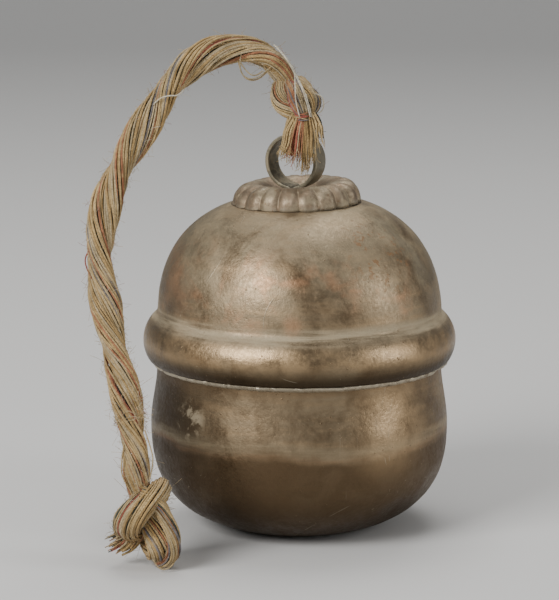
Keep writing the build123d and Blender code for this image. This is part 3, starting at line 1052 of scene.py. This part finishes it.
class BELL_OT_ring_knot(bpy.types.Operator):
    """Wind the tight turns of the knot over the loop"""

    bl_idname = "bell.ring_knot"
    bl_label = "Ring knot"

    def execute(self, context):
        sizes = context.scene.rope_sizes
        dice = Random(23)
        work = YarnWork("ring_knot_turns")
        for radius, dyes, route in RING_KNOT_TURNS:
            line = smooth_line(route, 0.6)
            ply = radius * MM - sizes.yarn * 0.6
            section = one_ply(ply, sizes.yarn * 1.35)
            turn = even_turn(RING_KNOT_PITCH, dice.uniform(0, tau))
            work.rope(line, section, 0.80, turn, dice, dyes, self.bulge)
            # A near-black core: painted shade in the gaps between the yarns.
            work.yarn(line, ply * KNOT_CORE, SHADE_CORE_DYE)
        work.piece("rope_yarn", "ring_knot")
        return {"FINISHED"}

    @staticmethod
    def bulge(share):
        """Each turn is full in its middle and tucked in at its ends."""
        return 0.62 + 0.46 * sin(pi * min(1.0, share * 1.15)) ** 0.8


class BELL_OT_rope_eye(bpy.types.Operator):
    """Lead one strand through the loop and back up to its knot"""

    bl_idname = "bell.rope_eye"
    bl_label = "Rope eye"

    def execute(self, context):
        sizes = context.scene.rope_sizes
        place = loop_frame()
        line = smooth_line([place @ (MM * Vector(point)) / MM for point in EYE_ROUTE], 0.6)
        work = YarnWork("rope_eye_strand")
        section = one_ply(sizes.strand - sizes.yarn * 0.8, sizes.yarn * 1.4)
        across = place.to_3x3() @ Vector((1, 0, 0))
        dyes = ("straw", "gold", "oat", "rust")
        work.rope(line, section, 0.72, even_turn(EYE_PITCH), Random(37), dyes, first=across)
        # A near-black core: painted shade in the gaps between the yarns.
        work.yarn(line, sizes.strand * KNOT_CORE, SHADE_CORE_DYE)
        work.piece("rope_yarn", "rope_eye")
        return {"FINISHED"}


class BELL_OT_end_knot(bpy.types.Operator):
    """Tie the overhand knot at the rope's foot, with its cut end"""

    bl_idname = "bell.end_knot"
    bl_label = "End knot"

    def execute(self, context):
        sizes = context.scene.rope_sizes
        dice = Random(41)
        line = smooth_line(END_KNOT_ROUTE, 0.7)
        work = YarnWork("end_knot_turns")
        section = two_ply(sizes.ply_radius * 0.98, sizes.ply_offset, sizes.yarn * 1.7)
        dyes = ROPE_DYES + ("oat",) * 8
        work.rope(line, section, 0.95, even_turn(END_KNOT_PITCH, 0.6), dice, dyes, self.swell, ragged=6)
        # A near-black core: painted shade in the gaps between the yarns.
        work.yarn(line[8:-7], sizes.ply_radius * END_KNOT_CORE, SHADE_CORE_DYE)
        wrap = smooth_line(END_KNOT_WRAP, 0.7)
        work.rope(wrap, one_ply(1.5 * MM, sizes.yarn * 1.3), 0.9, even_turn(WRAP_PITCH), dice, dyes)
        for _ in range(40):
            spread = MM * Vector((dice.uniform(-1.8, 0.8), dice.gauss(0, 1.2), dice.uniform(-2.4, 2.2)))
            foot = line[-1] + spread + MM * Vector((-1.6 * dice.random(), 0, 0))
            foot.z = max(foot.z, 0.6 * MM)
            stub = [line[-9] + spread * 0.8, line[-5] + spread * 0.9, foot]
            dye = dice.choice(("madder", "rust", "bottle", "straw", "oat"))
            work.yarn(stub, sizes.yarn * 0.8, dye, taper=0.5)
        work.piece("rope_yarn", "end_knot")
        return {"FINISHED"}

    @staticmethod
    def swell(share):
        """The knot's fullness: narrow where the rope comes in and where it ends."""
        start = min(1.0, share / 0.16)
        return 0.66 + 0.34 * start * start - 0.22 * max(0.0, share - 0.85) / 0.15


class BELL_OT_tassel(bpy.types.Operator):
    """Fray the rope's short end below the ring knot"""

    bl_idname = "bell.tassel"
    bl_label = "Tassel"

    def execute(self, context):
        sizes = context.scene.rope_sizes
        dice = Random(53)
        work = YarnWork("tassel_yarns")
        for reach, ends, count, dyes in TASSEL_GROUPS:
            for i in range(count):
                across = reach[0] + (reach[1] - reach[0]) * (i + dice.uniform(0.1, 0.9)) / count
                depth = dice.uniform(-1.6, 1.6)
                foot = Vector((across, TASSEL_FRONT + depth, dice.uniform(*ends)))
                neck = TASSEL_NECK + Vector((across * 0.42, depth * 0.6, dice.uniform(0.0, 1.6)))
                knee = neck.lerp(foot, 0.45) + Vector((across * 0.16, -0.5, 0.6))
                low = neck.lerp(foot, 0.8) + Vector((dice.gauss(0, 0.25), dice.gauss(0, 0.2), 0))
                line = smooth_line([neck, knee, low, foot], 0.6)
                dye = dice.choice(dyes)
                work.yarn(line, sizes.yarn * dice.uniform(0.6, 1.05), dye, taper=0.75)
                way = (line[-1] - line[-4]).normalized()
                for tip in line[-1:-6:-2]:
                    work.fibre(tip, way, MM * dice.uniform(0.8, 2.2), sizes.fibre * 1.6, dye, dice)
        tassel = work.piece("rope_yarn", "tassel")
        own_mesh(tassel)
        return {"FINISHED"}


class BELL_OT_threads(bpy.types.Operator):
    """Wind the pale thread round the tassel's neck and over the knot"""

    bl_idname = "bell.threads"
    bl_label = "Threads"

    def execute(self, context):
        thread = context.scene.rope_sizes.thread
        work = YarnWork("binding_threads")
        for route in THREADS:
            work.yarn(smooth_line(route, 0.5), thread, "thread")
        for turn, dye in enumerate(("madder", "rust", "madder", "slate", "madder", "oat")):
            work.yarn(smooth_line(self.neck_ring(turn), 0.5), thread * 0.9, dye)
        for turn in range(3):
            work.yarn(self.lint_ring(turn), thread * 0.55, "oat")
        work.piece("pale_thread", "binding_thread")
        return {"FINISHED"}

    def neck_ring(self, turn):
        """One uneven turn of yarn round the tassel's neck, in millimetres."""
        ring = []
        for i in range(33):
            around = tau * i / 32 * 1.06 + turn * 1.9
            width = 2.35 + 0.2 * sin(around * 2 + turn)
            level = 112.3 - 0.32 * turn + 0.75 * sin(around + turn * 2.1)
            ring.append((TASSEL_NECK.x + width * cos(around), TASSEL_NECK.y + 2.1 * sin(around), level))
        return ring

    def lint_ring(self, turn):
        """One loose ring of lint round the rope, above its end knot."""
        steps = frames_along(smooth_line(ROPE_ROUTE))
        point, side, up, _, _ = steps[int(len(steps) * 0.895) + turn]
        ring = []
        for i in range(29):
            around = tau * i / 28 * 0.94 + turn * 1.3
            out = MM * (4.1 + 0.5 * noise.noise((i * 0.4, turn * 3.1, 0)))
            drift = MM * 1.1 * noise.noise((i * 0.3, turn * 5.7, 4))
            ring.append(off_line(point, side, up, around, out) + side.cross(up) * drift)
        return ring


class BELL_OT_fuzz(bpy.types.Operator):
    """Scatter loose fibres and stray yarns over the rope and its knots"""

    bl_idname = "bell.fuzz"
    bl_label = "Fuzz"

    def execute(self, context):
        sizes = context.scene.rope_sizes
        dice = Random(67)
        dyes = ("straw", "oat", "straw", "thread", "gold", "straw", "oat", "madder")
        work = YarnWork("rope_fuzz", sides=0)
        for route, reach, count in self.coats():
            steps = frames_along(smooth_line(route))
            for _ in range(count):
                point, side, up, _, _ = dice.choice(steps)
                around = dice.uniform(0, tau)
                away = side * cos(around) + up * sin(around)
                along = side.cross(up) * dice.uniform(-1.4, 1.4)
                way = (away * 0.55 + along).normalized()
                start = point + away * MM * reach * dice.uniform(0.75, 0.95)
                size = MM * min(3.2, 0.5 + dice.expovariate(1.3))
                work.fibre(start, way, size, sizes.fibre, dice.choice(dyes), dice)
        work.piece("rope_yarn")

        work = YarnWork("stray_yarns")
        for dye, route in STRAYS:
            work.yarn(smooth_line(route, 0.6), sizes.yarn * 0.62, dye)
        work.piece("rope_yarn")
        return {"FINISHED"}

    def coats(self):
        """Each route that carries fuzz, the radius it grows from, and how many fibres."""
        yield ROPE_ROUTE, 4.0, 1500
        yield END_KNOT_ROUTE, 3.9, 700
        yield LINT_ROUTE, 4.3, 220
        for radius, _, route in RING_KNOT_TURNS:
            yield route, radius, 45


# Between these levels, in metres, the hammer left its marks; the edges beyond them stay true.
DOME_WORKED = (0.0470, 0.0870)
BOWL_WORKED = (0.0012, 0.0420)
FADE_OUT = 4 * MM


class BELL_OT_shells(bpy.types.Operator):
    """Spin the domed upper shell with its bead, and the slotted bowl"""

    bl_idname = "bell.shells"
    bl_label = "Brass shells"

    def execute(self, context):
        sizes = context.scene.shell_sizes
        dome = self.wall(self.dome_outline(sizes), sizes, DOME_WORKED)
        finish = BrassFinish("dome_brass").dome()
        piece("upper_shell_worked", dome, finish, BELL, "brass", "upper_shell")
        bowl = self.wall(self.bowl_outline(sizes), sizes, BOWL_WORKED)
        bowl = self.cut_slot(smooth_mesh("lower_shell_worked", bowl), sizes)
        finish = BrassFinish("bowl_brass").bowl()
        piece("lower_shell_worked", bowl, finish, BELL, "brass", "lower_shell")
        return {"FINISHED"}

    def dome_outline(self, s, foot=4.6, hollow=3 * MM, curl=1.8 * MM):
        """The dome, the hollow, the bead and its curled lip, from the crown down. The dome ends at so
        many degrees, and the hollow and the lip have these radii."""
        crown = degrees(acos((s.crown_hole / s.waist_radius) ** (s.dome_power / 2)))
        dome = squared(s.waist_radius, s.dome_height, s.dome_power, crown, foot, 46)
        dome = [(r, s.dome_z + z) for r, z in dome]
        centre = (s.bead_radius - s.bead_curve, s.bead_z)
        side = dome[-1][0] + hollow
        rise = sqrt((s.bead_curve + hollow) ** 2 - (side - centre[0]) ** 2)
        lean = degrees(atan2(rise, side - centre[0]))
        low = degrees(asin((s.bowl_height + curl - s.bead_z) / (s.bead_curve - curl)))
        curl_r = centre[0] + (s.bead_curve - curl) * cos(radians(low))
        hollow_arc = arc((side, centre[1] + rise), hollow, 180, 180 + lean, 9)
        bead = arc(centre, s.bead_curve, lean, low, 26)
        lip = arc((curl_r, s.bowl_height + curl), curl, low, -90, 8)
        return dome[:-1] + hollow_arc + bead[1:] + lip[1:] + [(s.lip_radius, s.bowl_height)]

    def bowl_outline(self, s):
        """The base, the bowl and its neck, from the middle of the base up."""
        depth = s.belly_z / (1 - (s.base_radius / s.belly_radius) ** s.bowl_power) ** (1 / s.bowl_power)
        start = degrees(asin((s.belly_z / depth) ** (s.bowl_power / 2)))
        base = [(s.base_radius * share, 0) for share in (0, 0.25, 0.45, 0.65, 0.8, 0.92)]
        cup = squared(s.belly_radius, depth, s.bowl_power, start, 0, 44)
        cup = [(r, s.belly_z - z) for r, z in cup]
        foot = s.bowl_height - 1.7 * MM
        waist, climb = s.neck_radius - s.belly_radius, foot - s.belly_z
        shares = [i / 14 for i in range(1, 15)]
        side = [(s.belly_radius + waist * ease(share), s.belly_z + climb * share) for share in shares]
        neck = [(s.neck_radius, foot + (s.neck_top - foot) * i / 6) for i in range(1, 7)]
        return base + cup + side + neck

    def wall(self, outline, s, worked):
        """Spin an outline, work it unevenly between two levels, and give it its thickness."""

        def push(vert):
            z = vert.co.z
            free = clamp((z - worked[0]) / FADE_OUT) * clamp((worked[1] - z) / FADE_OUT)
            slow = noise.noise(vert.co * 42 + Vector((3, 1, 2)))
            out = s.wobble * slow + s.dimple * noise.noise(vert.co * 240)
            for place, reach, depth in DENTS:
                gap = (vert.co - MM * Vector(place)).length / (reach * MM)
                out -= depth * MM * exp(-2.5 * gap * gap)
            return vert.normal * out * free

        work = spin_outline(outline, s.around)
        move_corners(work, push)
        thicken(work, s.sheet)
        return work

    def cut_slot(self, mesh, s):
        """Cut the sound slot, with a round hole at each end, through the base."""
        half = degrees(asin(s.slot_width / s.slot_hole))
        right = arc((s.slot_pitch / 2, 0), s.slot_hole / 2, half - 180, 180 - half, 25)
        left = arc((-s.slot_pitch / 2, 0), s.slot_hole / 2, half, 360 - half, 25)
        work = bmesh.new()
        face = work.faces.new([work.verts.new((x, y, -3 * MM)) for x, y in right + left])
        out = bmesh.ops.extrude_face_region(work, geom=[face])["geom"]
        bmesh.ops.translate(work, verts=corners_of(out), vec=(0, 0, 15 * MM))
        bmesh.ops.recalc_face_normals(work, faces=work.faces)
        cutter = add("slot_cutter", smooth_mesh("slot_cutter", work))
        blank = add("bowl_blank", mesh)
        cut = blank.modifiers.new("slot", "BOOLEAN")
        cut.operation = "DIFFERENCE"
        cut.solver = "EXACT"
        cut.object = cutter
        bpy.context.view_layer.update()
        seen = blank.evaluated_get(bpy.context.evaluated_depsgraph_get())
        made = bpy.data.meshes.new_from_object(seen)
        made.name = mesh.name
        made.materials.clear()
        for item in (blank, cutter):
            bpy.data.objects.remove(item)
        return made


class BELL_OT_solder(bpy.types.Operator):
    """Run the uneven solder fillet under the bead's lip"""

    bl_idname = "bell.solder"
    bl_label = "Solder"

    def execute(self, context):
        s = context.scene.shell_sizes
        inner = s.neck_radius - 0.2 * MM
        fillet = [(0.40, -1.15), (0.95, -0.70), (1.30, -0.15), (1.35, 0.10)]
        outline = [(inner, -1.35), *((s.neck_radius + out * MM, z) for out, z in fillet)]
        outline += [(inner, 0.3), (inner, -1.35)]

        def ripple(vert):
            turn = atan2(vert.co.y, vert.co.x)
            wave = noise.noise((12 * cos(turn), 12 * sin(turn), 1.3))
            lump = noise.noise((cos(turn) * 40, sin(turn) * 40, 7.1))
            grow = (0.22 * wave + 0.14 * lump) * MM / s.neck_radius * 4
            for place, rise in ((-129, 0.9), (-82, 0.5)):
                gap = (degrees(turn) - place) / 2.6
                grow += rise * MM / s.neck_radius * exp(-gap * gap)
            share = clamp((hypot(vert.co.x, vert.co.y) - inner) / (1.2 * MM))
            out = grow * share
            return Vector((vert.co.x * out, vert.co.y * out, -MM * 0.16 * (wave + lump) * share))

        work = spin_outline([(r, s.bowl_height + MM * z) for r, z in outline], 360)
        move_corners(work, ripple)
        finish = Finish("dull_solder")
        tones = context.scene.bell_colours
        dirt = finish.ramp(finish.noise(300.0, 4.0, 0.65), 0.50, 0.72, 0.0, 0.7)
        finish.join(
            Base_Color=finish.blend(dirt, tones.solder, tones.brown),
            Roughness=finish.ramp(dirt, 0, 1, 0.42, 0.7),
            Metallic=0.75,
            Normal=finish.bump(finish.noise(1500.0, 3.0), 0.00015, 0.6),
        )
        piece("solder_fillet", work, finish.material, BELL, "solder", "seam_solder")
        return {"FINISHED"}


FIRST_LOBE = 88.3  # degrees
CAP_DUST_LEVEL = 0.0914  # metres, above which dust lies on the cap


class BELL_OT_cap(bpy.types.Operator):
    """Press the fluted iron cap"""

    bl_idname = "bell.cap"
    bl_label = "Cap"

    def execute(self, context):
        s = context.scene.crown_sizes
        dish = [(s.dish_radius * i / 4, s.cap_sheet) for i in range(5)]
        run, climb = s.crest_radius - s.dish_radius, s.crest_height - s.cap_sheet
        shares = [i / 10 for i in range(1, 11)]
        dish += [(s.dish_radius + run * share, s.cap_sheet + climb * ease(share)) for share in shares]
        fall = squared(s.cap_radius - s.crest_radius, s.crest_height - s.rim_level, 2.5, 90, 0, 15)
        side = [(s.crest_radius + r, s.rim_level + z) for r, z in fall]
        dice = Random(5)
        depths = [s.groove * dice.uniform(0.7, 1.15) for _ in range(s.lobes)]

        def flute(vert):
            reach = hypot(vert.co.x, vert.co.y)
            turn = ((degrees(atan2(vert.co.y, vert.co.x)) + FIRST_LOBE) % 360) / 360 * s.lobes
            pillow = min(1.0, 1.15 * abs(sin(pi * turn)) ** 0.75)
            weight = clamp((reach - 0.58 * s.cap_radius) / (0.2 * s.cap_radius)) ** 2
            push = -depths[int(turn) % s.lobes] * (1 - pillow) * weight
            push += 0.22 * MM * noise.noise(vert.co * 260)
            rim = (MM * 0.25 * noise.noise(vert.co * 130) + 0.022 * vert.co.x) * weight
            return vert.normal * push + Vector((0, 0, rim))

        work = spin_outline(dish + side[1:], s.lobes * 18)
        move_corners(work, flute)
        thicken(work, s.cap_sheet)
        bmesh.ops.transform(work, matrix=crown_frame(), verts=work.verts)
        finish = iron_finish("cap_iron", context.scene.bell_colours.iron, CAP_DUST_LEVEL)
        piece("rosette_cap_pressed", work, finish, BELL, "cap_iron", "rosette_cap")
        return {"FINISHED"}


class BELL_OT_loop(bpy.types.Operator):
    """Bend the strap loop, with its two clenched tails"""

    bl_idname = "bell.loop"
    bl_label = "Strap loop"

    def execute(self, context):
        s = context.scene.crown_sizes
        half = 0.55 * MM
        bend = s.bend_radius
        turn_x = half + bend
        turn_y = -sqrt((s.loop_radius + bend) ** 2 - turn_x**2)
        start = degrees(atan2(turn_y, turn_x))
        clench = -s.loop_height - 2.05 * MM
        path = [(half + 9 * MM, clench - 0.9 * MM), (half + 5 * MM, clench - 0.5 * MM)]
        path += arc((turn_x, clench + bend), bend, 264, 180, 8)
        path += arc((turn_x, turn_y), bend, 180, 180 + start, 7)
        path += arc((0, 0), s.loop_radius, start, 90, 40)[1:]
        path += [(-x, y) for x, y in reversed(path[:-1])]
        work = bmesh.new()
        _, edges = chain(work, [(x, y, -s.strap_width / 2) for x, y in path])
        pull(work, edges, (0, 0, s.strap_width))
        bmesh.ops.recalc_face_normals(work, faces=work.faces)
        work.normal_update()
        move_corners(work, lambda vert: vert.normal * (s.strap_thick / 2))
        thicken(work, s.strap_thick)
        work.normal_update()
        sharp = [e for e in work.edges if len(e.link_faces) == 2 and e.calc_face_angle(0) > radians(50)]
        rounding = {"offset": 0.22 * MM, "offset_type": "OFFSET", "segments": 3, "profile": 0.5}
        bmesh.ops.bevel(work, geom=sharp, affect="EDGES", material=-1, **rounding)
        bmesh.ops.transform(work, matrix=loop_frame(), verts=work.verts)
        move_corners(work, lambda vert: MM * 0.10 * noise.noise_vector(vert.co * 260))
        finish = iron_finish("strap_iron", context.scene.bell_colours.strap)
        piece("strap_loop", work, finish, BELL, "strap_iron", "hanging_loop")
        return {"FINISHED"}


class BELL_OT_pellet(bpy.types.Operator):
    """Forge the loose iron pellet"""

    bl_idname = "bell.pellet"
    bl_label = "Pellet"

    def execute(self, context):
        low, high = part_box("pellet")
        work = bmesh.new()
        bmesh.ops.create_icosphere(work, subdivisions=5, radius=context.scene.crown_sizes.pellet_radius)

        def beat(vert):
            beaten = -0.28 * abs(noise.noise(vert.co * 230)) - 0.10 * noise.noise(vert.co * 800)
            return vert.co.normalized() * MM * beaten

        move_corners(work, beat)
        bmesh.ops.translate(work, verts=work.verts, vec=(low + high) / 2)
        finish = iron_finish("pellet_iron", context.scene.bell_colours.pellet)
        piece("forged_pellet", work, finish, PELLET, "pellet_iron", "pellet")
        return {"FINISHED"}


class BELL_PT_sidebar(bpy.types.Panel):
    """The bell's pieces and their settings"""

    bl_label = "Pellet Bell"
    bl_idname = "BELL_PT_sidebar"
    bl_space_type = "VIEW_3D"
    bl_region_type = "UI"
    bl_category = "Pellet Bell"

    def draw(self, context):
        for name in GROUPS:
            box = self.layout.box()
            box.label(text=name.replace("_", " ").capitalize())
            group = getattr(context.scene, name)
            for setting in group.bl_rna.properties.keys():
                if setting not in ("rna_type", "name"):
                    box.prop(group, setting)
        for operator in MAKERS:
            self.layout.operator(operator.bl_idname)


GROUPS = {
    "shell_sizes": ShellSizes,
    "crown_sizes": CrownSizes,
    "rope_sizes": RopeSizes,
    "bell_colours": BellColours,
    "yarn_colours": YarnColours,
    "bell_studio": StudioSettings,
}

# The knots are made before the rope.
MAKERS = (
    BELL_OT_studio,
    BELL_OT_ring_knot,
    BELL_OT_rope_eye,
    BELL_OT_end_knot,
    BELL_OT_tassel,
    BELL_OT_threads,
    BELL_OT_rope,
    BELL_OT_fuzz,
    BELL_OT_shells,
    BELL_OT_solder,
    BELL_OT_cap,
    BELL_OT_loop,
    BELL_OT_pellet,
)


def register():
    for kind in (*GROUPS.values(), *MAKERS, BELL_PT_sidebar):
        bpy.utils.register_class(kind)
    for name, kind in GROUPS.items():
        setattr(bpy.types.Scene, name, PointerProperty(type=kind))


def unregister():
    for name in GROUPS:
        delattr(bpy.types.Scene, name)
    for kind in (BELL_PT_sidebar, *reversed(MAKERS), *reversed(GROUPS.values())):
        bpy.utils.unregister_class(kind)


def main():
    register()
    for maker in MAKERS:
        group, name = maker.bl_idname.split(".")
        getattr(getattr(bpy.ops, group), name)()


if __name__ == "__main__":
    main()
